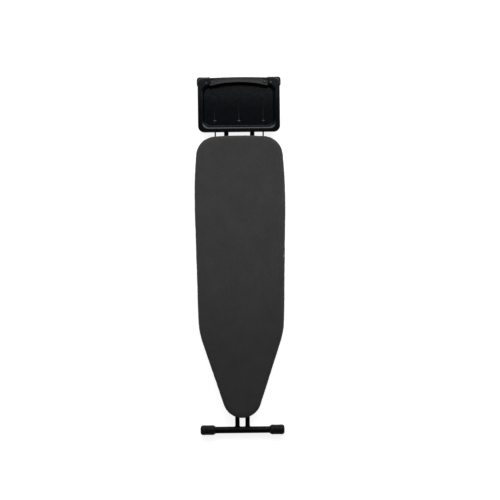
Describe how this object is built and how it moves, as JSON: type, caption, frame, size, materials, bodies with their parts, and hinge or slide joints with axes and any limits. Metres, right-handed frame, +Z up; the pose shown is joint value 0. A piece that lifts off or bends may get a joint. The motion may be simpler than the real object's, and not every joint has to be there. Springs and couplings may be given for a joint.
{
  "type": "ironing board",
  "caption": "Folding ironing board with a padded cover, a scissor leg pair on foot bars and an iron rest tray at its square end.",
  "frame": {"origin": "on the floor under the scissor pin, at the middle of the folded board's length and width", "axes": "+Z up; +Y along the board from the nose to the iron rest; +X to the right, the side of the release lever"},
  "size_m": [0.434, 1.726, 0.079],
  "materials": {
    "cover_cloth": "woven cotton with a felt back, charcoal",
    "padding": "needled felt",
    "mesh_steel": "grey powder coat",
    "frame_steel": "black powder coat",
    "leg_steel": "black powder coat, satin",
    "bright_steel": "zinc plated",
    "tray_plastic": "moulded, fine satin grain",
    "small_plastic": "moulded, plain",
    "strip_rubber": "heat-proof silicone, satin",
    "foot_rubber": "soft black rubber, matt"
  },
  "bodies": {
    "board": {"board_mesh": "mesh_steel", "board_rim": "frame_steel", "nose_crossbar": "frame_steel", "front_crossbar": "frame_steel", "middle_crossbar": "frame_steel", "latch_crossbar": "frame_steel", "pivot_crossbar": "frame_steel", "tail_crossbar": "frame_steel", "pad": "padding", "cover": "cover_cloth", "slide_rail_left": "bright_steel", "slide_rail_right": "bright_steel", "rail_rivets": "bright_steel", "pivot_bracket_left": "bright_steel", "pivot_bracket_right": "bright_steel", "shaft_brackets": "bright_steel", "shaft_bushes": "small_plastic", "lock_spring": "bright_steel", "latch_boss": "small_plastic", "rod_clamps": "small_plastic", "tray_rod_left": "frame_steel", "tray_rod_right": "frame_steel", "tray_cross_rods": "frame_steel", "tray_pan": "tray_plastic", "pan_saddles": "small_plastic", "backstop_bar": "tray_plastic", "backstop_screws": "bright_steel", "grip_strips": "strip_rubber"},
    "leg_inner": {"inner_tube_left": "leg_steel", "inner_tube_right": "leg_steel", "inner_foot_bar": "leg_steel", "inner_caps": "foot_rubber", "inner_lugs": "leg_steel", "inner_brace": "leg_steel", "inner_plugs": "small_plastic", "pivot_axle": "bright_steel", "pivot_sleeves": "small_plastic", "pivot_clips": "bright_steel", "scissor_pin": "bright_steel", "scissor_spacers": "small_plastic", "scissor_nuts": "bright_steel"},
    "leg_outer": {"outer_tube_left": "leg_steel", "outer_tube_right": "leg_steel", "outer_foot_bar": "leg_steel", "outer_caps": "foot_rubber", "outer_lugs": "leg_steel", "outer_brace": "leg_steel", "outer_plugs": "small_plastic", "slide_axle": "bright_steel", "slide_bushes": "small_plastic", "axle_clips": "bright_steel"},
    "lock": {"lock_shaft": "bright_steel", "lock_comb": "bright_steel", "release_lever": "bright_steel", "lever_grip": "small_plastic", "lever_pin": "bright_steel"},
    "latch": {"transport_latch": "small_plastic"}
  },
  "joints": [
    {"name": "leg_fold", "type": "hinge", "parent": "board", "child": "leg_inner", "pos_m": [0, 0.42, 0.0435], "axis": [1, 0, 0], "range_deg": [0, 46]},
    {"name": "leg_cross", "type": "hinge", "parent": "leg_inner", "child": "leg_outer", "pos_m": [0, 0, 0.0235], "axis": [1, 0, 0], "range_deg": [-92, 0]},
    {"name": "height_lock", "type": "hinge", "parent": "board", "child": "lock", "pos_m": [0.104, -0.0585, 0.0535], "axis": [0, 1, 0], "range_deg": [0, 21]},
    {"name": "latch_turn", "type": "hinge", "parent": "board", "child": "latch", "pos_m": [0.04345, 0.2255, 0.03], "axis": [0, 0, 1], "range_deg": [0, 90]}
  ],
  "couplings": [
    {"joint": "leg_cross", "follows": "leg_fold", "ratio": -2}
  ]
}
